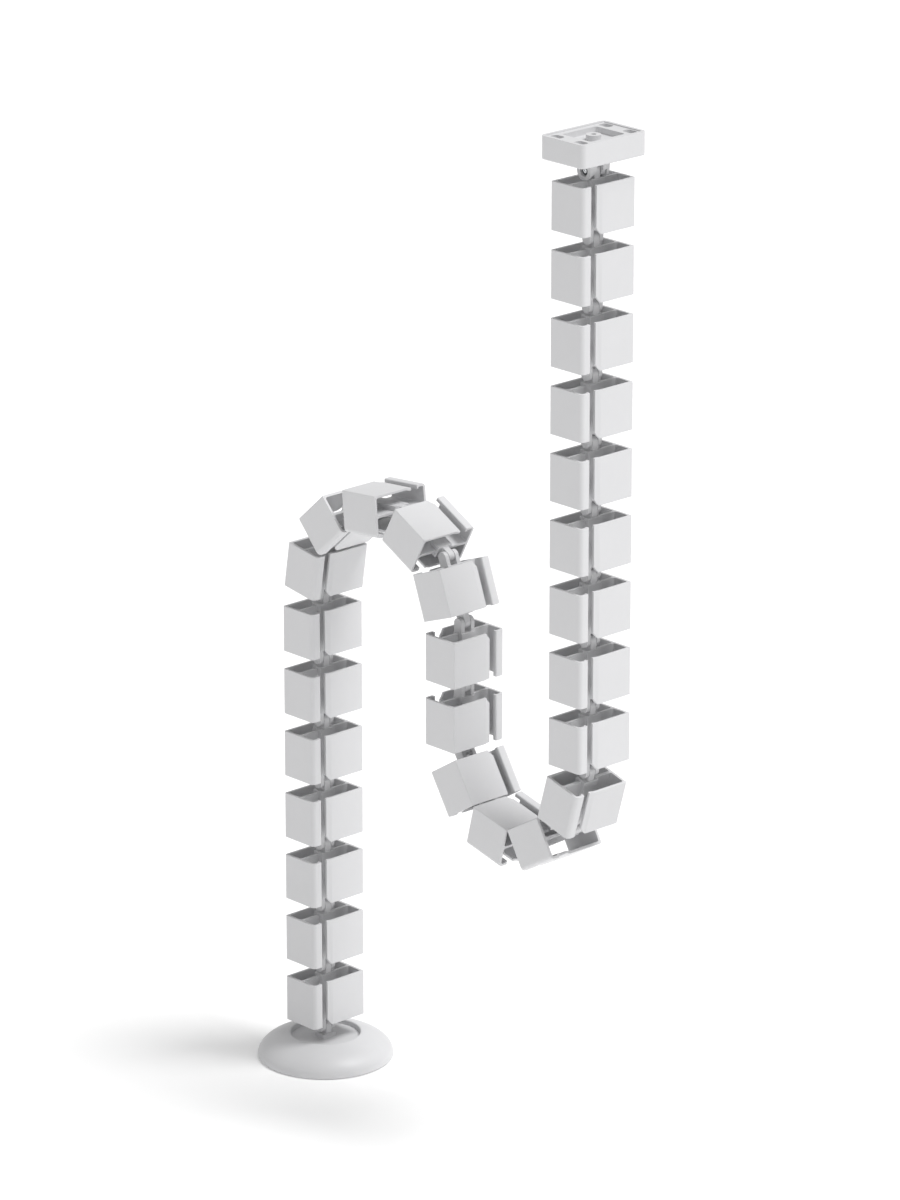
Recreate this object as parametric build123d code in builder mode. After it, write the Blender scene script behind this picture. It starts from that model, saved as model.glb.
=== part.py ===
from build123d import *
from math import cos, radians, sin
import os

os.makedirs("parts", exist_ok=True)

# Open box section of one vertebra, X across the bend, Y along the hinge axis
section_x = 30.0
section_y = 47.0
body_height = 33.0
slit_corner_radius = 3.2
plain_corner_radius = 0.9
channel_radius = 1.2
wall = 2.0
web = 2.0

# Room between two bodies in line, and the lean of each vertebra in the photographed pose
body_gap = 13.0
lower_leans = [0] * 7
middle_leans = [9, 48, 85, 118, 160, 180, 180]
upper_leans = [148, 104, 60, 16]
last_leans = [0] * 9

# Cable slits, one on each broad face at opposite corners, with a curled lip
slit_return = 7.8
slit_width = 5.7
lip_width = 4.2
lip_drop = 1.5
lip_flat = 0.8
flare_width = 3.6
flare_height = 4.6
flare_margin = 1.0

# Snap hinge between two vertebrae, a tongue below held in a clevis above
hinge_radius = 3.8
hub_x = 9.0
hub_raise = 1.2
tongue_width = 5.0
stud_radius = 2.05
stud_clearance = 0.05
stud_gap = 1.2
cheek_thickness = 3.3
cheek_clearance = 0.3

# Round foot with a hidden weight and a soft pad
foot_radius = 48.2
foot_height = 18.0
foot_skirt = 1.5
well_radius = 24.5
well_depth = 4.0
well_edge = 1.5
foot_axis_height = 22.3
pad_margin = 4.2
pad_thickness = 2.0
pad_proud = 0.5
weight_margin = 7.0
weight_thickness = 6.0
weight_clearance = 0.3

# Desk bracket, a shallow tray that is screwed up under the desk top
plate_x = 40.0
plate_y = 58.0
plate_thickness = 16.0
plate_rise = 8.0
plate_corner = 3.6
tray_rim = 2.6
shelf_drop = 0.8
recess_x = 27.0
recess_y = 31.0
recess_depth = 4.0
recess_corner = 2.0
pocket_x = 9.4
pocket_y = 6.6
pocket_depth = 3.0
pocket_corner = 2.4
screw_spacing_x = 22.0
screw_spacing_y = 44.0
screw_hole_radius = 2.2
screw_head_radius = 4.2
screw_head_depth = 4.0
centre_boss_radius = 5.0
centre_hole_radius = 1.8
fork_margin = 0.3
fork_half_width = 7.0
fork_cheek = 5.8
fork_clearance = 0.4

# Bolt and nut of the top hinge
bolt_head_radius = 2.6
bolt_head_height = 1.8
bolt_socket_radius = 1.3
bolt_socket_depth = 1.2
head_pocket_depth = 3.0
head_pocket_clearance = 1.0
nut_across_flats = 7.0
nut_thickness = 3.0
nut_pocket_depth = 3.2
nut_pocket_clearance = 0.2
nut_bore_clearance = 0.05

# Dependent sizes, the pitch is the distance between hinge axes
pitch = body_height + body_gap
body_bottom = body_gap / 2
body_top = body_bottom + body_height
fork_radius = body_gap / 2 - fork_margin
pad_radius = foot_radius - pad_margin
weight_radius = pad_radius - weight_margin
inner_half_x = section_x / 2 - wall
channel_x = inner_half_x - web / 2
channel_y = section_y - 2 * wall
channel_centre = web / 2 + channel_x / 2
cheek_inner = tongue_width / 2 + cheek_clearance
cheek_outer = cheek_inner + cheek_thickness
hub_y = 2 * cheek_outer
bore_radius = stud_radius + stud_clearance
slit_centre = section_y / 2 - slit_return - slit_width / 2
lip_edge = section_y / 2 - slit_return - slit_width
lip_start = lip_edge - lip_width
flare_depth = wall + lip_drop + 2 * flare_margin
lip_middle = lip_edge - lip_width / 2
lip_bend = lip_edge - lip_flat
dome_height = (foot_height - foot_skirt) / (1 - (well_radius / foot_radius) ** 2) ** 0.5
plate_top = plate_rise + plate_thickness
shelf_level = plate_top - shelf_drop
fork_inner = tongue_width / 2 + fork_clearance
fork_outer = fork_inner + fork_cheek
head_seat = fork_outer - head_pocket_depth
nut_seat = fork_outer - nut_pocket_depth
relief_radius = pitch - body_top - hub_raise - fork_clearance

# Positions of the hinge axes from the foot to the bracket
leans = lower_leans + middle_leans + upper_leans + last_leans
axis_x = [0.0]
axis_z = [foot_axis_height]
for lean in leans:
    axis_x.append(axis_x[-1] + pitch * sin(radians(lean)))
    axis_z.append(axis_z[-1] + pitch * cos(radians(lean)))

# One vertebra about its lower hinge axis
with BuildPart() as vertebra:
    # Thin walled body with two cable channels either side of the web
    with BuildSketch(Plane.XY.offset(body_bottom)):
        Rectangle(section_x, section_y)
        fillet(vertices().filter_by(lambda v: v.X * v.Y < 0), radius=slit_corner_radius)
        fillet(vertices().filter_by(lambda v: v.X * v.Y > 0), radius=plain_corner_radius)
        with Locations((channel_centre, 0), (-channel_centre, 0)):
            RectangleRounded(channel_x, channel_y, channel_radius, mode=Mode.SUBTRACT)
        with Locations((section_x / 2, -lip_middle), (-section_x / 2, lip_middle)):
            Rectangle(2 * wall, lip_width, mode=Mode.SUBTRACT)
        with Locations((section_x / 2, -slit_centre), (-section_x / 2, slit_centre)):
            Rectangle(3 * wall, slit_width, mode=Mode.SUBTRACT)
        with BuildLine():
            Polyline(
                (section_x / 2, -lip_start),
                (section_x / 2 - lip_drop, -lip_bend),
                (section_x / 2 - lip_drop, -lip_edge),
                (inner_half_x - lip_drop, -lip_edge),
                (inner_half_x - lip_drop, -lip_bend),
                (inner_half_x, -lip_start),
                close=True,
            )
        make_face()
        with BuildLine():
            Polyline(
                (-section_x / 2, lip_start),
                (lip_drop - section_x / 2, lip_bend),
                (lip_drop - section_x / 2, lip_edge),
                (lip_drop - inner_half_x, lip_edge),
                (lip_drop - inner_half_x, lip_bend),
                (-inner_half_x, lip_start),
                close=True,
            )
        make_face()
        Rectangle(hub_x, hub_y)
    extrude(amount=body_height)
    # Flared lower ends of the slits
    with BuildSketch(Plane.YZ.offset(inner_half_x - lip_drop - flare_margin)):
        with BuildLine():
            Polyline(
                (-lip_edge - flare_margin, body_bottom),
                (flare_width - lip_edge, body_bottom),
                (-lip_edge, body_bottom + flare_height),
                (-lip_edge - flare_margin, body_bottom + flare_height),
                close=True,
            )
        make_face()
    extrude(amount=flare_depth, mode=Mode.SUBTRACT)
    with BuildSketch(Plane.YZ.offset(lip_drop + flare_margin - inner_half_x)):
        with BuildLine():
            Polyline(
                (lip_edge + flare_margin, body_bottom),
                (lip_edge - flare_width, body_bottom),
                (lip_edge, body_bottom + flare_height),
                (lip_edge + flare_margin, body_bottom + flare_height),
                close=True,
            )
        make_face()
    extrude(amount=-flare_depth, mode=Mode.SUBTRACT)
    # Raised hub top and the tongue above
    with BuildSketch(Plane.XY.offset(body_top)):
        Rectangle(hub_x, hub_y)
    extrude(amount=hub_raise)
    with BuildSketch(Plane.XZ):
        with Locations((0, (body_top + pitch) / 2)):
            Rectangle(2 * hinge_radius, pitch - body_top)
        with Locations((0, pitch)):
            Circle(hinge_radius)
    extrude(amount=tongue_width / 2, both=True)
    with BuildSketch(Plane.XZ):
        with Locations((0, pitch)):
            Circle(bore_radius)
    extrude(amount=tongue_width / 2, both=True, mode=Mode.SUBTRACT)
    # Clevis below
    with BuildSketch(Plane.XZ.offset(cheek_inner), Plane.XZ.offset(-cheek_outer)):
        with Locations((0, body_bottom / 2)):
            Rectangle(2 * hinge_radius, body_bottom)
        Circle(hinge_radius)
    extrude(amount=cheek_thickness)
    # Snap studs that face each other inside the clevis
    with BuildSketch(Plane.XZ.offset(stud_gap / 2), Plane.XZ.offset(-cheek_inner)):
        Circle(stud_radius)
    extrude(amount=cheek_inner - stud_gap / 2)

for number, lean in enumerate(leans, start=1):
    name = f"vertebra_{number:02d}"
    placed = vertebra.part.moved(Location((axis_x[number - 1], 0, axis_z[number - 1]), (0, lean, 0)))
    placed.label = name
    export_step(placed, f"parts/{name}.step")

# Soft pad under the foot
with BuildPart() as base_pad:
    with BuildSketch():
        Circle(pad_radius)
    extrude(amount=pad_thickness)
base_pad.part.label = "base_pad"
export_step(base_pad.part, "parts/base_pad.step")

# Steel weight on the pad
with BuildPart() as base_weight:
    with BuildSketch(Plane.XY.offset(pad_thickness)):
        Circle(weight_radius)
    extrude(amount=weight_thickness)
base_weight.part.label = "base_weight"
export_step(base_weight.part, "parts/base_weight.step")

# Domed foot shell with the round well and the lowest tongue
with BuildPart() as base_shell:
    with BuildSketch(Plane.XZ):
        with BuildLine():
            EllipticalCenterArc((0, foot_skirt), foot_radius, dome_height, start_angle=0, arc_size=90)
            Polyline(
                (0, foot_skirt + dome_height),
                (0, pad_proud),
                (foot_radius, pad_proud),
                (foot_radius, foot_skirt),
            )
        make_face()
        with Locations((foot_radius / 2, foot_height + dome_height / 2)):
            Rectangle(foot_radius + pad_thickness, dome_height, mode=Mode.SUBTRACT)
        with Locations((well_radius / 2, foot_height)):
            Rectangle(well_radius, 2 * well_depth, mode=Mode.SUBTRACT)
        fillet(vertices().sort_by(Axis.Y)[-1], radius=well_edge)
        with Locations(((pad_radius + weight_clearance) / 2, pad_thickness / 2)):
            Rectangle(pad_radius + weight_clearance, pad_thickness, mode=Mode.SUBTRACT)
        with Locations(((weight_radius + weight_clearance) / 2, pad_thickness + weight_thickness / 2)):
            Rectangle(weight_radius + weight_clearance, weight_thickness, mode=Mode.SUBTRACT)
    revolve(axis=Axis.Z)
    with BuildSketch(Plane.XY.offset(foot_height - well_depth)):
        Rectangle(hub_x, hub_y)
    extrude(amount=foot_axis_height - body_bottom + hub_raise - foot_height + well_depth)
    with BuildSketch(Plane.XZ):
        with Locations((0, foot_axis_height - body_bottom / 2)):
            Rectangle(2 * hinge_radius, body_bottom)
        with Locations((0, foot_axis_height)):
            Circle(hinge_radius)
    extrude(amount=tongue_width / 2, both=True)
    with BuildSketch(Plane.XZ):
        with Locations((0, foot_axis_height)):
            Circle(bore_radius)
    extrude(amount=tongue_width / 2, both=True, mode=Mode.SUBTRACT)
base_shell.part.label = "base_shell"
export_step(base_shell.part, "parts/base_shell.step")

# Desk bracket about the top hinge axis
top_plane = Plane((axis_x[-1], 0, axis_z[-1]))
top_section = Plane((axis_x[-1], 0, axis_z[-1]), x_dir=(1, 0, 0), z_dir=(0, -1, 0))
with BuildPart() as top_bracket:
    # Plate with a rim, a shelf just below it and a central recess round a boss
    with BuildSketch(top_plane.offset(plate_rise)):
        RectangleRounded(plate_x, plate_y, plate_corner)
    extrude(amount=plate_thickness)
    with BuildSketch(top_plane.offset(shelf_level)):
        RectangleRounded(plate_x - 2 * tray_rim, plate_y - 2 * tray_rim, plate_corner - tray_rim)
    extrude(amount=shelf_drop, mode=Mode.SUBTRACT)
    with BuildSketch(top_plane.offset(shelf_level)):
        RectangleRounded(recess_x, recess_y, recess_corner)
        Circle(centre_boss_radius, mode=Mode.SUBTRACT)
    extrude(amount=-recess_depth, mode=Mode.SUBTRACT)
    with BuildSketch(top_plane.offset(shelf_level)):
        Circle(centre_hole_radius)
    extrude(amount=-recess_depth, mode=Mode.SUBTRACT)
    # Corner pockets with through holes, and head pockets from below
    with BuildSketch(top_plane.offset(shelf_level)):
        with GridLocations(screw_spacing_x, screw_spacing_y, 2, 2):
            RectangleRounded(pocket_x, pocket_y, pocket_corner)
    extrude(amount=-pocket_depth, mode=Mode.SUBTRACT)
    with BuildSketch(top_plane.offset(plate_rise)):
        with GridLocations(screw_spacing_x, screw_spacing_y, 2, 2):
            Circle(screw_hole_radius)
    extrude(amount=plate_thickness, mode=Mode.SUBTRACT)
    with BuildSketch(top_plane.offset(plate_rise)):
        with GridLocations(screw_spacing_x, screw_spacing_y, 2, 2):
            Circle(screw_head_radius)
    extrude(amount=screw_head_depth, mode=Mode.SUBTRACT)
    # Fork that takes the top tongue
    with BuildSketch(top_section.offset(fork_inner), top_section.offset(-fork_outer)):
        with BuildLine():
            Polyline(
                (-fork_radius, 0),
                (fork_radius, 0),
                (fork_half_width, plate_rise),
                (-fork_half_width, plate_rise),
                close=True,
            )
        make_face()
        Circle(fork_radius)
    extrude(amount=fork_cheek)
    # Relief inside the fork for the raised hub of the top vertebra
    with BuildSketch(top_section):
        with Locations((0, -fork_radius)):
            Rectangle(4 * fork_radius, 2 * fork_radius)
        Circle(relief_radius, mode=Mode.SUBTRACT)
    extrude(amount=hub_y / 2 + fork_clearance, both=True, mode=Mode.SUBTRACT)
    with BuildSketch(top_section):
        Circle(bore_radius)
    extrude(amount=fork_outer, both=True, mode=Mode.SUBTRACT)
    with BuildSketch(top_section.offset(fork_outer - head_pocket_depth)):
        Circle(bolt_head_radius + head_pocket_clearance)
    extrude(amount=head_pocket_depth, mode=Mode.SUBTRACT)
    with BuildSketch(top_section.offset(-fork_outer)):
        RegularPolygon(nut_across_flats / 2 + nut_pocket_clearance, 6, major_radius=False)
    extrude(amount=nut_pocket_depth, mode=Mode.SUBTRACT)
top_bracket.part.label = "top_bracket"
export_step(top_bracket.part, "parts/top_bracket.step")

# Bolt of the top hinge, its head in the near pocket
with BuildPart() as hinge_bolt:
    with BuildSketch(top_section.offset(head_seat)):
        Circle(bolt_head_radius)
    extrude(amount=bolt_head_height)
    with BuildSketch(top_section.offset(-nut_seat - nut_thickness)):
        Circle(stud_radius)
    extrude(amount=head_seat + nut_seat + nut_thickness)
    with BuildSketch(top_section.offset(head_seat + bolt_head_height)):
        RegularPolygon(bolt_socket_radius, 6)
    extrude(amount=-bolt_socket_depth, mode=Mode.SUBTRACT)
hinge_bolt.part.label = "hinge_bolt"
export_step(hinge_bolt.part, "parts/hinge_bolt.step")

# Nut in the far pocket
with BuildPart() as hinge_nut:
    with BuildSketch(top_section.offset(-nut_seat - nut_thickness)):
        RegularPolygon(nut_across_flats / 2, 6, major_radius=False)
        Circle(stud_radius + nut_bore_clearance, mode=Mode.SUBTRACT)
    extrude(amount=nut_thickness)
hinge_nut.part.label = "hinge_nut"
export_step(hinge_nut.part, "parts/hinge_nut.step")
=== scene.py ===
import bpy
import bmesh
import math
from mathutils import Matrix, Vector


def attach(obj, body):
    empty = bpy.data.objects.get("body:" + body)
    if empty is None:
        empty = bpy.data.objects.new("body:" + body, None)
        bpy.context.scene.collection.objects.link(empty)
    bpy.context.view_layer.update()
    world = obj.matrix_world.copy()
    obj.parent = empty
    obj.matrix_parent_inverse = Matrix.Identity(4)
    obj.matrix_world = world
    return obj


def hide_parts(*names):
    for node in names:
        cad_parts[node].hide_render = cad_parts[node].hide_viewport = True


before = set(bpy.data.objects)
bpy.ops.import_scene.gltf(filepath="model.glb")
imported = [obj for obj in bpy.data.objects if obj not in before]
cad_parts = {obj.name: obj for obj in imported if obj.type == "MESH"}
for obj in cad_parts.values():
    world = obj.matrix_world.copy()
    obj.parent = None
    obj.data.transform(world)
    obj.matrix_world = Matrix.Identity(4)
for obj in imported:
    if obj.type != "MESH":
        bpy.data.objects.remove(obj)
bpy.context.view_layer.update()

bl_info = {
    "name": "Cable spine",
    "version": (1, 0, 0),
    "blender": (4, 5, 0),
    "location": "View3D > Sidebar > Cable spine",
    "description": "Builds the dressed cable spine and its studio on the packed frame",
    "category": "Object",
}

MM = 0.001

# The photographed pose, as the lean of each vertebra toward +X from the foot up
LEANS = [0] * 7 + [9, 48, 85, 118, 160, 180, 180, 148, 104, 60, 16] + [0] * 9

# How near a place counts as on a face, and how close points count as one, in millimetres
ON_FACE = 0.01
ONE_POINT = 0.002

# The least share of a direction along an axis that counts as pointing that way
ALONG = 0.9

# Decimals of a metre that a point keeps, which is a tenth of a micron
POINT_DIGITS = 7

# Angles in degrees, of faces that count as one flat, edges that are rounded and edges that stay sharp
FLAT_ANGLE = 0.5
EDGE_ANGLE = 32
SHARP_ANGLE = 48

# How far a cutter passes the face it cuts, and how deep an added piece sits, in millimetres
PAST = 1
SUNK = 0.5


# Sizes and colours that a user would change


def length_property(name, description, default):
    return bpy.props.FloatProperty(name=name, description=description, default=default, unit="LENGTH")


def colour_property(name, description, default):
    return bpy.props.FloatVectorProperty(
        name=name,
        description=description,
        default=default,
        subtype="COLOR",
        size=3,
        min=0,
        max=1,
    )


class CableSpineSizes(bpy.types.PropertyGroup):
    pitch: length_property("Hinge spacing", "Distance between two hinge axes", 46 * MM)
    foot_axis: length_property(
        "Lowest hinge height", "Height of the lowest hinge axis above the floor", 22.3 * MM
    )
    edge: length_property("Edge radius", "Rounding of the moulded edges", 0.3 * MM)


class CableSpineColours(bpy.types.PropertyGroup):
    plastic: colour_property(
        "Plastic", "Moulded plastic of the vertebrae, foot and bracket", (0.66, 0.66, 0.67)
    )
    # The steel colour is also painted as a highlight over the socket in the middle of the bolt head.
    steel: colour_property(
        "Steel", "Bright middle of the bolt head, nut and weight", (0.88, 0.89, 0.9)
    )
    # The dark colour of the bolt round its bright middle is painted shade, the dark of the shadowed
    # gap round the head.
    painted_bolt_shade: colour_property(
        "Bolt head", "Blackened steel round the bright middle of the bolt head", (0.055, 0.06, 0.065)
    )
    rubber: colour_property("Pad", "Soft pad under the foot", (0.05, 0.05, 0.052))
    floor: colour_property("Floor", "Studio floor", (0.95, 0.95, 0.95))


# Small tools


def deselect():
    if bpy.context.object and bpy.context.object.mode != "OBJECT":
        bpy.ops.object.mode_set(mode="OBJECT")
    bpy.ops.object.select_all(action="DESELECT")


def only(obj):
    deselect()
    obj.select_set(True)
    bpy.context.view_layer.objects.active = obj


def enter_all(obj):
    """Enters edit mode with the whole mesh selected."""
    only(obj)
    bpy.ops.object.mode_set(mode="EDIT")
    bpy.ops.mesh.select_all(action="SELECT")


def leave():
    bpy.ops.object.mode_set(mode="OBJECT")


def even_out(obj):
    """Rounds the points, so that flush faces share one plane."""
    for point in obj.data.vertices:
        point.co = [round(c, POINT_DIGITS) for c in point.co]
    return obj


def block(name, lo, hi):
    """A box between two corners in millimetres, its place in its mesh."""
    deselect()
    centre = [(a + b) / 2 * MM for a, b in zip(lo, hi)]
    size = [(b - a) * MM for a, b in zip(lo, hi)]
    bpy.ops.mesh.primitive_cube_add(size=1, location=centre)
    obj = bpy.context.object
    obj.name = name
    obj.scale = size
    bpy.ops.object.transform_apply(location=True, rotation=True, scale=True)
    return even_out(obj)


def slab(name, wide, deep, low, high, x=0, y=0):
    """A box told by its widths along X and Y, its bottom and top and its middle."""
    return block(name, (x - wide / 2, y - deep / 2, low), (x + wide / 2, y + deep / 2, high))


def round_bar(name, centre, radius, length, turn, sides):
    """A cylinder in millimetres about a point, turned from upright."""
    deselect()
    bpy.ops.mesh.primitive_cylinder_add(
        vertices=sides,
        radius=radius * MM,
        depth=length * MM,
        location=[c * MM for c in centre],
        rotation=turn,
    )
    obj = bpy.context.object
    obj.name = name
    bpy.ops.object.transform_apply(location=True, rotation=True, scale=True)
    return even_out(obj)


def post(name, radius, low, high, x=0, y=0, sides=48):
    """An upright round bar between two heights."""
    return round_bar(name, (x, y, (low + high) / 2), radius, high - low, (0, 0, 0), sides)


def pin(name, radius, start, end, height=0, sides=48):
    """A round bar along Y, the way of the hinge axes, between two places."""
    centre = (0, (start + end) / 2, height)
    return round_bar(name, centre, radius, end - start, (math.pi / 2, 0, 0), sides)


def hexagon(flat):
    """The corner radius of a hexagon from the distance of its flats to its middle."""
    return flat / math.cos(math.pi / 6)


def on_side(side, near, far):
    """Two distances from the middle, as places in order on its plus or minus side."""
    return sorted((near * side, far * side))


def pick(obj, mode, test):
    """Enters edit mode with the faces or edges chosen by their middle and direction selected."""
    only(obj)
    bpy.ops.object.mode_set(mode="EDIT")
    bpy.ops.mesh.select_mode(type="FACE" if mode == "faces" else "EDGE")
    bpy.ops.mesh.select_all(action="DESELECT")
    mesh = bmesh.from_edit_mesh(obj.data)
    items = mesh.faces if mode == "faces" else mesh.edges
    count = 0
    for item in items:
        if mode == "faces":
            chosen = test(item.calc_center_median() / MM, item.normal)
        else:
            a, b = (v.co / MM for v in item.verts)
            chosen = test((a + b) / 2, (b - a).normalized())
        if chosen:
            item.select_set(True)
            count += 1
    if not count:
        raise RuntimeError("nothing picked on " + obj.name)
    mesh.select_flush_mode()
    bmesh.update_edit_mesh(obj.data)


def push(offset):
    """Extrudes what is selected by an offset in millimetres."""
    bpy.ops.mesh.extrude_region_move(TRANSFORM_OT_translate={"value": [c * MM for c in offset]})


def round_edges(obj, radius, segments, test):
    """Rounds the edges that a test on their middle and direction picks."""
    pick(obj, "edges", test)
    bpy.ops.mesh.bevel(offset=radius * MM, segments=segments, affect="EDGES")
    leave()
    return obj


def round_corners(obj, radius, segments, where=lambda mid: True):
    """Rounds the upright edges of a piece, or some of them."""
    return round_edges(obj, radius, segments, lambda mid, way: abs(way.z) > ALONG and where(mid))


def combine(obj, others, how):
    """Joins or cuts pieces into one mesh and merges its doubled points."""
    for other in others:
        only(obj)
        cut = obj.modifiers.new("cut", "BOOLEAN")
        cut.operation = how
        cut.solver = "EXACT"
        cut.object = other
        bpy.ops.object.modifier_apply(modifier=cut.name)
        bpy.data.objects.remove(other)
        enter_all(obj)
        bpy.ops.mesh.remove_doubles(threshold=ONE_POINT * MM)
        bpy.ops.mesh.dissolve_degenerate(threshold=ONE_POINT * MM)
        leave()
    return obj


def soften(obj, width, segments=2):
    """Rounds the sharp edges and smooths the shading."""
    enter_all(obj)
    bpy.ops.mesh.dissolve_limited(angle_limit=math.radians(FLAT_ANGLE))
    leave()
    edge = obj.modifiers.new("edge", "BEVEL")
    edge.width = width * MM
    edge.segments = segments
    edge.limit_method = "ANGLE"
    edge.angle_limit = math.radians(EDGE_ANGLE)
    edge.use_clamp_overlap = True
    edge.harden_normals = False
    bpy.ops.object.modifier_apply(modifier=edge.name)
    bpy.ops.object.shade_smooth_by_angle(angle=math.radians(SHARP_ANGLE))
    even = obj.modifiers.new("even", "WEIGHTED_NORMAL")
    even.keep_sharp = True
    even.weight = 100
    bpy.ops.object.modifier_apply(modifier=even.name)
    return obj


def placed(master, name, matrix):
    """A copy with its own mesh, its place in its mesh."""
    obj = master.copy()
    obj.data = master.data.copy()
    obj.name = name
    bpy.context.scene.collection.objects.link(obj)
    obj.data.transform(matrix)
    obj.matrix_world = Matrix.Identity(4)
    return obj


def settled(master, name, matrix):
    """A single copy in place of its master."""
    obj = placed(master, name, matrix)
    bpy.data.objects.remove(master)
    return obj


def chain_places(sizes):
    """The frame of each vertebra at its lower hinge, and of the bracket at the top hinge."""
    x = 0.0
    z = sizes.foot_axis
    places = []
    for lean in LEANS:
        a = math.radians(lean)
        places.append(Matrix.Translation((x, 0, z)) @ Matrix.Rotation(a, 4, "Y"))
        x += sizes.pitch * math.sin(a)
        z += sizes.pitch * math.cos(a)
    return places, Matrix.Translation((x, 0, z))


# Materials


def feed(tree, node, sockets):
    """Fills or links the sockets of a node, each told by its name or number."""
    for key, value in sockets.items():
        if isinstance(value, Wire):
            tree.links.new(value.socket, node.inputs[key])
        else:
            node.inputs[key].default_value = value


def add_node(tree, kind, settings, sockets, output=0):
    """Adds a node, makes its settings first and then feeds its sockets."""
    node = tree.nodes.new(kind)
    for name, value in settings.items():
        setattr(node, name, value)
    feed(tree, node, sockets)
    return Wire(tree, node.outputs[output])


class Wire:
    """A shader value that can be added, multiplied and mixed in plain sums."""

    def __init__(self, tree, socket):
        self.tree = tree
        self.socket = socket

    def maths(self, how, first, second):
        return add_node(self.tree, "ShaderNodeMath", {"operation": how}, {0: first, 1: second})

    def __add__(self, other):
        return self.maths("ADD", self, other)

    def __radd__(self, other):
        return self.maths("ADD", other, self)

    def __sub__(self, other):
        return self.maths("SUBTRACT", self, other)

    def __rsub__(self, other):
        return self.maths("SUBTRACT", other, self)

    def __mul__(self, other):
        return self.maths("MULTIPLY", self, other)

    def __rmul__(self, other):
        return self.maths("MULTIPLY", other, self)

    def clamp(self, low, high):
        raised = self.maths("MAXIMUM", self, low)
        return self.maths("MINIMUM", raised, high)

    def blend(self, dark, light):
        """Mixes two colours, which a Mix node takes in sockets 6 and 7 and gives in output 2."""
        sockets = {0: self, 6: (*dark, 1), 7: (*light, 1)}
        return add_node(self.tree, "ShaderNodeMix", {"data_type": "RGBA"}, sockets, 2)


def object_place(tree):
    return add_node(tree, "ShaderNodeTexCoord", {}, {}, "Object")


def noise(tree, size, detail=2):
    """Noise on object coordinates with features of a size in millimetres."""
    sockets = {"Vector": object_place(tree), "Scale": 1 / (size * MM), "Detail": detail}
    return add_node(tree, "ShaderNodeTexNoise", {}, sockets, "Fac")


def surface(name, base, roughness, tint=0.03, grain=0.25, height=0.012, metal=0.0):
    """A procedural surface with uneven colour, uneven gloss and fine relief.

    Grain is the size of the relief and height its depth, both in millimetres.
    """
    broad_size = 22
    cloud_size = 5
    broad_share = 0.6
    unevenness = 0.04
    gloss_limits = (0.05, 0.95)
    relief_strength = 0.6
    mat = bpy.data.materials.new(name)
    mat.use_nodes = True
    tree = mat.node_tree
    broad = noise(tree, broad_size)
    cloud = noise(tree, cloud_size, detail=3)
    fine = noise(tree, grain)
    tone = broad * broad_share + cloud * (1 - broad_share)
    dark = [c * (1 - tint) for c in base]
    light = [min(1, c * (1 + tint)) for c in base]
    gloss = (cloud - 0.5) * (2 * unevenness) + (fine - 0.5) * unevenness + roughness
    depths = {"Strength": relief_strength, "Distance": height * MM, "Height": fine}
    sockets = {
        "Base Color": tone.blend(dark, light),
        "Metallic": metal,
        "Roughness": gloss.clamp(*gloss_limits),
        "Normal": add_node(tree, "ShaderNodeBump", {}, depths, "Normal"),
    }
    feed(tree, tree.nodes["Principled BSDF"], sockets)
    return mat


def plastic(name):
    """The satin moulded plastic of the vertebrae, foot and bracket."""
    return surface(name, bpy.context.scene.cable_spine_colours.plastic, roughness=0.42)


def painted_highlight_and_shade(mat, centre, radius, bright, dark):
    """Paints a highlight within a radius of a turned end's axis and painted shade around it."""
    tree = mat.node_tree
    place = {"Vector": object_place(tree)}
    across = (add_node(tree, "ShaderNodeSeparateXYZ", {}, place, "X") - centre.x) * (1 / MM)
    up = (add_node(tree, "ShaderNodeSeparateXYZ", {}, place, "Z") - centre.z) * (1 / MM)
    outside = (across * across + up * up - radius**2).clamp(0, 1)
    feed(tree, tree.nodes["Principled BSDF"], {"Base Color": outside.blend(bright, dark)})


def paint(obj, mat):
    obj.data.materials.clear()
    obj.data.materials.append(mat)
    return obj


def finish_piece(obj, mat, body, slot, *nodes):
    paint(obj, mat)
    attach(obj, body)
    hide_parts(*nodes)


# Snap hinge: a tongue between the two cheeks of a clevis, in millimetres

HINGE_RADIUS = 3.8
TONGUE_THICK = 5
CHEEK_THICK = 3.3
CHEEK_INNER = TONGUE_THICK / 2 + 0.3
BORE_RADIUS = 2.1
STUD_RADIUS = 2.05
STUD_REACH = 2.2
STUD_ROOT = 0.6

# The solid hub that carries a tongue
HUB_X = 9
HUB_Y = 12.2


def tongue_piece(foot, top):
    """A tongue with its round end and through bore, from a height up to a hinge axis."""
    half = TONGUE_THICK / 2
    tongue = slab("tongue", 2 * HINGE_RADIUS, TONGUE_THICK, foot, top)
    combine(tongue, [pin("end", HINGE_RADIUS, -half, half, top)], "UNION")
    bore = pin("bore", BORE_RADIUS, -half - PAST, half + PAST, top, 32)
    return combine(tongue, [bore], "DIFFERENCE")


def cheek_piece(side, top):
    """One cheek of the clevis about the hinge axis, with its snap stud."""
    near, far = on_side(side, CHEEK_INNER, CHEEK_INNER + CHEEK_THICK)
    cheek = block("cheek", (-HINGE_RADIUS, near, 0), (HINGE_RADIUS, far, top))
    combine(cheek, [pin("end", HINGE_RADIUS, near, far)], "UNION")
    near, far = on_side(side, CHEEK_INNER - STUD_REACH, CHEEK_INNER + STUD_ROOT)
    return combine(cheek, [pin("stud", STUD_RADIUS, near, far, sides=32)], "UNION")


# Vertebra, in millimetres about its lower hinge axis

SECTION_X = 30
SECTION_Y = 47
BODY_LOW = 6.5
BODY_HIGH = 39.5
WALL = 2
WEB = 2
SLIT_CORNER = 3.2
PLAIN_CORNER = 0.9
CHANNEL_CORNER = 1.2
HUB_RISE = 1.2
OUTER_X = SECTION_X / 2
INNER_X = SECTION_X / 2 - WALL

# The opening cut in a broad wall, as distances from the middle of the wall
OPENING_NEAR = 5.7
OPENING_FAR = 15.7

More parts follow.
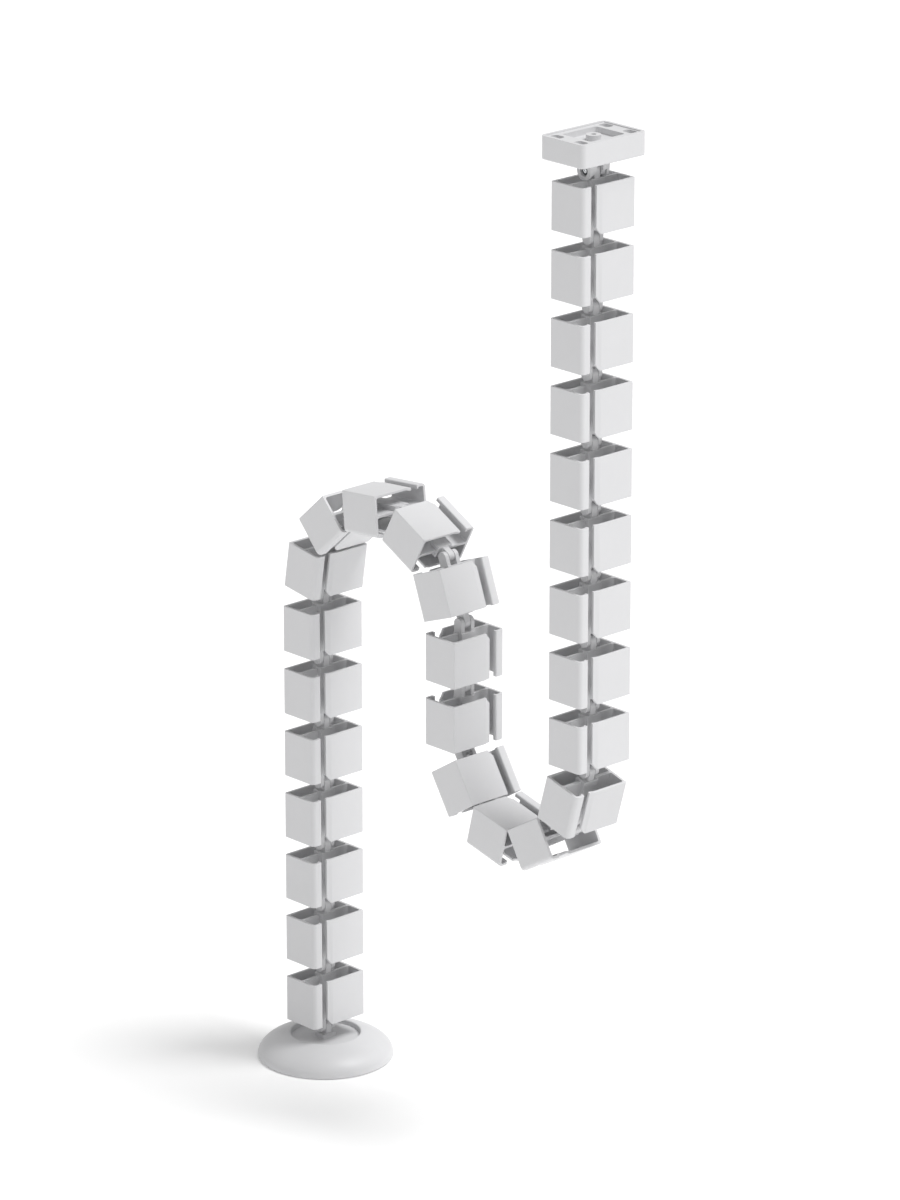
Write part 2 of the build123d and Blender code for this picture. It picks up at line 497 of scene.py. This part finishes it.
# The lip fills the near part of the opening, drawn in and along
LIP_ROOT = 0.1
LIP_DRAW = 0.9
LIP_SLOPE = 2.8
LIP_FLAT = 1.9
LIP_END = OPENING_NEAR + LIP_ROOT + LIP_SLOPE + LIP_FLAT

# The wall's thick rounded end on the far side of the slit
RETURN_WIDTH = 1.5
RETURN_DEPTH = 1
RETURN_EDGE = 1.1

# The flare of the slit's lower end
FLARE_WIDTH = 3.6
FLARE_HEIGHT = 4.6
FLARE_DEPTH = 4.5


def channel_cutter(side):
    """The cable channel between the web and one broad wall."""
    near, far = on_side(side, WEB / 2, INNER_X)
    end = SECTION_Y / 2 - WALL
    channel = block("channel", (near, -end, BODY_LOW - PAST), (far, end, BODY_HIGH + PAST))
    return round_corners(channel, CHANNEL_CORNER, 3)


def opening_cutter(side):
    """The opening in one broad wall."""
    low_x, high_x = on_side(side, INNER_X - PAST, OUTER_X + PAST)
    low_y, high_y = on_side(-side, OPENING_NEAR, OPENING_FAR)
    return block("opening", (low_x, low_y, BODY_LOW - PAST), (high_x, high_y, BODY_HIGH + PAST))


def lip_piece(side):
    """The curled lip at the near side of the slit."""
    low_x, high_x = on_side(side, INNER_X, OUTER_X)
    low_y, high_y = on_side(-side, OPENING_NEAR, OPENING_NEAR + LIP_ROOT)
    lip = block("lip", (low_x, low_y, BODY_LOW), (high_x, high_y, BODY_HIGH))
    pick(lip, "faces", lambda mid, way: way.y * side < -ALONG)
    push((-LIP_DRAW * side, -LIP_SLOPE * side, 0))
    push((0, -LIP_FLAT * side, 0))
    bpy.ops.mesh.select_all(action="SELECT")
    bpy.ops.mesh.normals_make_consistent(inside=False)
    leave()
    return lip


def return_piece(side):
    """What thickens the wall's end at the far side of the slit."""
    low_x, high_x = on_side(side, INNER_X - RETURN_DEPTH, INNER_X + WALL / 2)
    low_y, high_y = on_side(-side, OPENING_FAR, OPENING_FAR + RETURN_WIDTH)
    return block("return", (low_x, low_y, BODY_LOW), (high_x, high_y, BODY_HIGH))


def flare_wedge(side):
    """The wedge that flares the lower end of the slit on one side."""
    top = BODY_LOW + FLARE_HEIGHT
    lean = FLARE_WIDTH * (FLARE_HEIGHT + PAST) / FLARE_HEIGHT
    low_x, high_x = on_side(side, OUTER_X - FLARE_DEPTH, OUTER_X + PAST)
    low_y, high_y = on_side(-side, LIP_END - lean, LIP_END + PAST)
    wedge = block("flare", (low_x, low_y, BODY_LOW - PAST), (high_x, high_y, top))

    def leaning(mid, way):
        return mid.z > top - ON_FACE and abs(way.x) > ALONG and abs(mid.y) < LIP_END

    pick(wedge, "edges", leaning)
    bpy.ops.transform.translate(value=(0, -lean * side * MM, 0))
    leave()
    return even_out(wedge)


def vertebra_master(sizes):
    """One vertebra about its lower hinge axis."""
    sides = (1, -1)
    body = slab("vertebra", SECTION_X, SECTION_Y, BODY_LOW, BODY_HIGH)
    round_corners(body, SLIT_CORNER, 7, lambda mid: mid.x * mid.y < 0)
    round_corners(body, PLAIN_CORNER, 3, lambda mid: mid.x * mid.y > 0)
    combine(body, [channel_cutter(side) for side in sides], "DIFFERENCE")
    combine(body, [opening_cutter(side) for side in sides], "DIFFERENCE")
    for side in sides:
        combine(body, [lip_piece(side), return_piece(side)], "UNION")

    def at_return(mid):
        return abs(mid.x) > OUTER_X - ON_FACE and abs(abs(mid.y) - OPENING_FAR) < ON_FACE

    round_corners(body, RETURN_EDGE, 5, at_return)
    combine(body, [flare_wedge(side) for side in sides], "DIFFERENCE")
    hub = slab("hub", HUB_X, HUB_Y, BODY_LOW, BODY_HIGH + HUB_RISE)
    tongue = tongue_piece(BODY_HIGH + SUNK, sizes.pitch / MM)
    cheeks = [cheek_piece(side, BODY_LOW + SUNK) for side in sides]
    combine(body, [hub, tongue] + cheeks, "UNION")
    return soften(body, sizes.edge / MM)


class CableSpineVertebrae(bpy.types.Operator):
    """Models one vertebra and copies it along the chain"""

    bl_idname = "cable_spine.vertebrae"
    bl_label = "Vertebrae"

    def execute(self, context):
        sizes = context.scene.cable_spine_sizes
        mat = plastic("link plastic")
        master = vertebra_master(sizes)
        places, _ = chain_places(sizes)
        for number, place in enumerate(places, start=1):
            node = f"vertebra_{number:02d}"
            obj = placed(master, node + "_moulding", place)
            finish_piece(obj, mat, f"link_{number:02d}", "link_plastic", node)
        bpy.data.objects.remove(master)
        return {"FINISHED"}


# Foot, in millimetres about its middle on the floor

FOOT_RADIUS = 48.2
FOOT_LOW = 0.5
FOOT_BAND = 1
FOOT_HEIGHT = 18
DOME_STEPS = 16
WELL_RADIUS = 24.5
WELL_DEPTH = 4
WELL_EDGE = 1.5
FOOT_HUB_TOP = 17

# The hollow under the shell, as the margin and the depth of each of its two steps
UNDERSIDE = ((3.9, 1.5), (7, 6))


def foot_master(sizes):
    """The domed foot shell with its well, its tongue and its hollow underside."""
    band_top = FOOT_LOW + FOOT_BAND
    shell = post("foot", FOOT_RADIUS, FOOT_LOW, band_top, sides=128)
    pick(shell, "faces", lambda mid, way: way.z > ALONG)
    share = WELL_RADIUS / FOOT_RADIUS
    rise = (FOOT_HEIGHT - band_top) / math.sqrt(1 - share**2)
    last = math.acos(share)
    for step in range(DOME_STEPS):
        a = last * step / DOME_STEPS
        b = last * (step + 1) / DOME_STEPS
        push((0, 0, rise * (math.sin(b) - math.sin(a))))
        k = math.cos(b) / math.cos(a)
        bpy.ops.transform.resize(value=(k, k, 1))
    push((0, 0, -WELL_DEPTH))
    leave()
    round_edges(shell, WELL_EDGE, 5, lambda mid, way: abs(mid.z - FOOT_HEIGHT) < ON_FACE)
    pick(shell, "faces", lambda mid, way: way.z < -ALONG and mid.z < FOOT_LOW + ON_FACE)
    for margin, depth in UNDERSIDE:
        bpy.ops.mesh.inset(thickness=margin * MM)
        push((0, 0, depth))
    leave()
    hub = slab("hub", HUB_X, HUB_Y, FOOT_HEIGHT - WELL_DEPTH - SUNK, FOOT_HUB_TOP)
    tongue = tongue_piece(FOOT_HUB_TOP - SUNK, sizes.foot_axis / MM)
    combine(shell, [hub, tongue], "UNION")
    return soften(shell, sizes.edge / MM)


class CableSpineFoot(bpy.types.Operator):
    """Finishes the foot shell, its pad and its weight"""

    bl_idname = "cable_spine.foot"
    bl_label = "Foot"

    def execute(self, context):
        colours = context.scene.cable_spine_colours
        master = foot_master(context.scene.cable_spine_sizes)
        shell = settled(master, "base_shell_moulding", Matrix.Identity(4))
        finish_piece(shell, plastic("shell plastic"), "base", "shell_plastic", "base_shell")
        pad = surface("pad rubber", colours.rubber, roughness=0.8, grain=0.6, height=0.05)
        paint(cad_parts["base_pad"], pad)
        weight = surface("weight steel", colours.steel, roughness=0.5, metal=1.0)
        paint(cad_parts["base_weight"], weight)
        return {"FINISHED"}


# Bracket, in millimetres about the top hinge axis, its holes and seats told by their radius

PLATE_X = 40
PLATE_Y = 58
PLATE_LOW = 8
PLATE_TOP = 24
PLATE_CORNER = 3.6
PLATE_EDGE = 1
RIM_WIDTH = 2.6
SHELF = PLATE_TOP - 0.8
SHELF_CORNER = 1
RECESS_X = 27
RECESS_Y = 31
RECESS_FLOOR = SHELF - 4
RECESS_CORNER = 2
BOSS_RADIUS = 5
BOSS_HOLE = 1.8

# The four screws, each in a pocket above and with a seat for its head below
SCREW_X = 11
SCREW_Y = 22
SCREW_HOLE = 2.2
POCKET_X = 9.4
POCKET_Y = 6.6
POCKET_FLOOR = SHELF - 3
POCKET_CORNER = 2.4
SEAT_RADIUS = 4.2
SEAT_TOP = PLATE_LOW + 4

# The fork, narrower at the hinge than at the plate, with seats for the bolt and the nut
FORK_INNER = 2.9
FORK_OUTER = 8.7
FORK_ROOT = 7
FORK_RADIUS = 6.2
BOLT_SEAT = 3.6
BOLT_SEAT_FLOOR = 5.7
NUT_SEAT_FLAT = 3.7
NUT_SEAT_FLOOR = 5.5

# The room inside the fork for the raised hub of the top vertebra, round a core that stays
RELIEF_REACH = 12.4
RELIEF_WIDTH = 13
RELIEF_CORE = 4.9


def tray_cutters():
    """What the shelf, the recess round its boss, and the screws take out of the plate."""
    top = PLATE_TOP + PAST
    shelf = slab("shelf", PLATE_X - 2 * RIM_WIDTH, PLATE_Y - 2 * RIM_WIDTH, SHELF, top)
    recess = slab("recess", RECESS_X, RECESS_Y, RECESS_FLOOR, top)
    cuts = [round_corners(shelf, SHELF_CORNER, 4), round_corners(recess, RECESS_CORNER, 4)]
    boss = post("boss", BOSS_RADIUS, RECESS_FLOOR - PAST, top + PAST)
    combine(recess, [boss], "DIFFERENCE")
    cuts.append(post("hole", BOSS_HOLE, RECESS_FLOOR, top, sides=32))
    for x in (-SCREW_X, SCREW_X):
        for y in (-SCREW_Y, SCREW_Y):
            pocket = slab("pocket", POCKET_X, POCKET_Y, POCKET_FLOOR, top, x, y)
            cuts.append(round_corners(pocket, POCKET_CORNER, 5))
            cuts.append(post("hole", SCREW_HOLE, PLATE_LOW - PAST, top, x, y, 32))
            cuts.append(post("seat", SEAT_RADIUS, PLATE_LOW - PAST, SEAT_TOP, x, y, 32))
    return cuts


def fork_cheek(side):
    """One cheek of the fork, the near one seating the bolt's head and the far one the nut."""
    near, far = on_side(side, FORK_INNER, FORK_OUTER)
    cheek = block("cheek", (-FORK_ROOT, near, 0), (FORK_ROOT, far, PLATE_LOW + SUNK))
    pick(cheek, "faces", lambda mid, way: way.z < -ALONG)
    bpy.ops.transform.resize(value=(FORK_RADIUS / FORK_ROOT, 1, 1))
    leave()
    combine(cheek, [pin("end", FORK_RADIUS, near, far, sides=64)], "UNION")
    bore = pin("bore", BORE_RADIUS, near - PAST, far + PAST, sides=32)
    if side < 0:
        seat = pin("seat", BOLT_SEAT, -FORK_OUTER - PAST, -BOLT_SEAT_FLOOR)
    else:
        seat = pin("seat", hexagon(NUT_SEAT_FLAT), NUT_SEAT_FLOOR, FORK_OUTER + PAST, sides=6)
    return combine(cheek, [bore, seat], "DIFFERENCE")


def bracket_master(sizes):
    """The desk bracket about the top hinge axis."""
    plate = slab("plate", PLATE_X, PLATE_Y, PLATE_LOW, PLATE_TOP)
    round_corners(plate, PLATE_CORNER, 7)
    round_edges(plate, PLATE_EDGE, 4, lambda mid, way: mid.z < PLATE_LOW + ON_FACE)
    combine(plate, tray_cutters(), "DIFFERENCE")
    for side in (1, -1):
        combine(plate, [fork_cheek(side)], "UNION")
    relief = slab("relief", 2 * RELIEF_REACH, RELIEF_WIDTH, -RELIEF_REACH, 0)
    half = RELIEF_WIDTH / 2 + PAST
    combine(relief, [pin("core", RELIEF_CORE, -half, half)], "DIFFERENCE")
    combine(plate, [relief], "DIFFERENCE")
    return soften(plate, sizes.edge / MM)


class CableSpineBracket(bpy.types.Operator):
    """Finishes the desk bracket"""

    bl_idname = "cable_spine.bracket"
    bl_label = "Bracket"

    def execute(self, context):
        sizes = context.scene.cable_spine_sizes
        obj = settled(bracket_master(sizes), "top_bracket_moulding", chain_places(sizes)[1])
        mat = plastic("bracket plastic")
        finish_piece(obj, mat, "bracket", "bracket_plastic", "top_bracket")
        return {"FINISHED"}


# Bolt and nut, in millimetres about the top hinge axis, with the bolt's head toward -Y

HEAD_RADIUS = 2.6
HEAD_TOP = 7.5
SHANK_RADIUS = 2.05
SHANK_END = 8
SHANK_ROOT = 0.1
SOCKET_RADIUS = 1.3
SOCKET_FLOOR = 6.3
NUT_FLAT = 3.5
NUT_END = 8.5
TURNED_EDGE = 0.25


def bolt_master():
    """The hinge bolt with a rounded head and a hexagon socket."""
    head = pin("bolt", HEAD_RADIUS, -HEAD_TOP, -BOLT_SEAT_FLOOR)
    shank = pin("shank", SHANK_RADIUS, -BOLT_SEAT_FLOOR - SHANK_ROOT, SHANK_END)
    combine(head, [shank], "UNION")
    socket = pin("socket", SOCKET_RADIUS, -HEAD_TOP - PAST, -SOCKET_FLOOR, sides=6)
    combine(head, [socket], "DIFFERENCE")
    return soften(head, TURNED_EDGE, 3)


def nut_master():
    """The hexagon nut with softened corners."""
    nut = pin("nut", hexagon(NUT_FLAT), NUT_SEAT_FLOOR, NUT_END, sides=6)
    combine(nut, [pin("bore", BORE_RADIUS, NUT_SEAT_FLOOR - PAST, NUT_END + PAST)], "DIFFERENCE")
    return soften(nut, TURNED_EDGE)


class CableSpineBolt(bpy.types.Operator):
    """Finishes the bolt and nut of the top hinge"""

    bl_idname = "cable_spine.bolt"
    bl_label = "Bolt and nut"

    def execute(self, context):
        colours = context.scene.cable_spine_colours
        place = chain_places(context.scene.cable_spine_sizes)[1]
        bolt = settled(bolt_master(), "hinge_bolt_turned", place)
        mat = surface("bolt steel", colours.steel, roughness=0.22, metal=1.0)
        # Painted highlight over the socket, within its radius of the axis, and painted shade over the
        # rest of the bolt, for the shadowed gap round the head.
        painted_highlight_and_shade(mat, place.translation, SOCKET_RADIUS, colours.steel, colours.painted_bolt_shade)
        finish_piece(bolt, mat, "bracket", "bolt_steel", "hinge_bolt")
        nut = settled(nut_master(), "hinge_nut_turned", place)
        mat = surface("nut steel", colours.steel, roughness=0.35, metal=1.0)
        finish_piece(nut, mat, "bracket", "nut_steel", "hinge_nut")
        return {"FINISHED"}


# Stage, in metres and degrees

FLOOR_SIZE = 30
FLOOR_GLOW = 0.1
WORLD_STRENGTH = 0.5
KEY_PLACE = Vector((1.13, 0.48, 2.61))
KEY_AIM = Vector((0.13, 0, 0.36))
KEY_POWER = 2.5
KEY_ANGLE = 28

# The camera's turn and tilt, its distance from the point it faces, how far that point
# is to the right of the lowest hinge and above it in the picture, and its lens
CAMERA_TURN = 46.95
CAMERA_TILT = 18.497
CAMERA_DISTANCE = 4.4317
CAMERA_RIGHT = 0.08835
CAMERA_UP = 0.3015
CAMERA_LENS = 249.67
SENSOR_WIDTH = 36
WHITE = (1, 1, 1, 1)


class CableSpineStage(bpy.types.Operator):
    """Sets the floor, the soft lights and the camera of the photograph"""

    bl_idname = "cable_spine.stage"
    bl_label = "Stage"

    def floor(self, colours):
        deselect()
        bpy.ops.mesh.primitive_plane_add(size=FLOOR_SIZE, location=(0, 0, 0))
        floor = bpy.context.object
        floor.name = "studio floor"
        cover = surface("floor", colours.floor, roughness=0.7, tint=0.004, grain=4, height=0.0)
        glow = {"Emission Color": WHITE, "Emission Strength": FLOOR_GLOW}
        feed(cover.node_tree, cover.node_tree.nodes["Principled BSDF"], glow)
        return paint(floor, cover)

    def sky(self, scene):
        world = bpy.data.worlds.new("studio")
        scene.world = world
        world.use_nodes = True
        tree = world.node_tree
        feed(tree, tree.nodes["Background"], {"Color": WHITE, "Strength": WORLD_STRENGTH})

    def key(self):
        """A distant soft light, so that the whole height of the chain is lit alike."""
        deselect()
        bpy.ops.object.light_add(type="SUN", location=KEY_PLACE)
        lamp = bpy.context.object
        lamp.name = "key"
        lamp.data.angle = math.radians(KEY_ANGLE)
        lamp.data.energy = KEY_POWER
        lamp.rotation_euler = (KEY_AIM - KEY_PLACE).to_track_quat("-Z", "Y").to_euler()
        return lamp

    def camera(self, scene):
        az = math.radians(CAMERA_TURN)
        el = math.radians(CAMERA_TILT)
        way = Vector((-math.sin(az) * math.cos(el), math.cos(az) * math.cos(el), -math.sin(el)))
        right = Vector((math.cos(az), math.sin(az), 0))
        up = right.cross(way)
        place = -way * CAMERA_DISTANCE + right * CAMERA_RIGHT + up * CAMERA_UP
        place.z += scene.cable_spine_sizes.foot_axis
        bpy.ops.object.camera_add(location=place)
        camera = bpy.context.object
        camera.rotation_euler = Matrix((right, up, -way)).transposed().to_euler()
        camera.data.sensor_fit = "HORIZONTAL"
        camera.data.sensor_width = SENSOR_WIDTH
        camera.data.lens = CAMERA_LENS
        camera.data.clip_start = 0.1
        camera.data.clip_end = 100
        camera.data.dof.use_dof = False
        scene.camera = camera

    def execute(self, context):
        scene = context.scene
        scene.view_settings.view_transform = "Standard"
        floor = self.floor(scene.cable_spine_colours)
        self.sky(scene)
        key = self.key()
        self.camera(scene)
        return {"FINISHED"}


class CableSpinePanel(bpy.types.Panel):
    bl_label = "Cable spine"
    bl_idname = "VIEW3D_PT_cable_spine"
    bl_space_type = "VIEW_3D"
    bl_region_type = "UI"
    bl_category = "Cable spine"

    def draw(self, context):
        layout = self.layout
        for group in (context.scene.cable_spine_sizes, context.scene.cable_spine_colours):
            for name in group.__annotations__:
                layout.prop(group, name)
        for operator in OPERATORS:
            layout.operator(operator.bl_idname)


OPERATORS = (
    CableSpineVertebrae,
    CableSpineFoot,
    CableSpineBracket,
    CableSpineBolt,
    CableSpineStage,
)
GROUPS = (CableSpineSizes, CableSpineColours)


def register():
    for cls in GROUPS + OPERATORS + (CableSpinePanel,):
        bpy.utils.register_class(cls)
    bpy.types.Scene.cable_spine_sizes = bpy.props.PointerProperty(type=CableSpineSizes)
    bpy.types.Scene.cable_spine_colours = bpy.props.PointerProperty(type=CableSpineColours)


def unregister():
    del bpy.types.Scene.cable_spine_colours
    del bpy.types.Scene.cable_spine_sizes
    for cls in reversed(GROUPS + OPERATORS + (CableSpinePanel,)):
        bpy.utils.unregister_class(cls)


def main():
    register()
    bpy.ops.cable_spine.vertebrae()
    bpy.ops.cable_spine.foot()
    bpy.ops.cable_spine.bracket()
    bpy.ops.cable_spine.bolt()
    bpy.ops.cable_spine.stage()


if __name__ == "__main__":
    main()
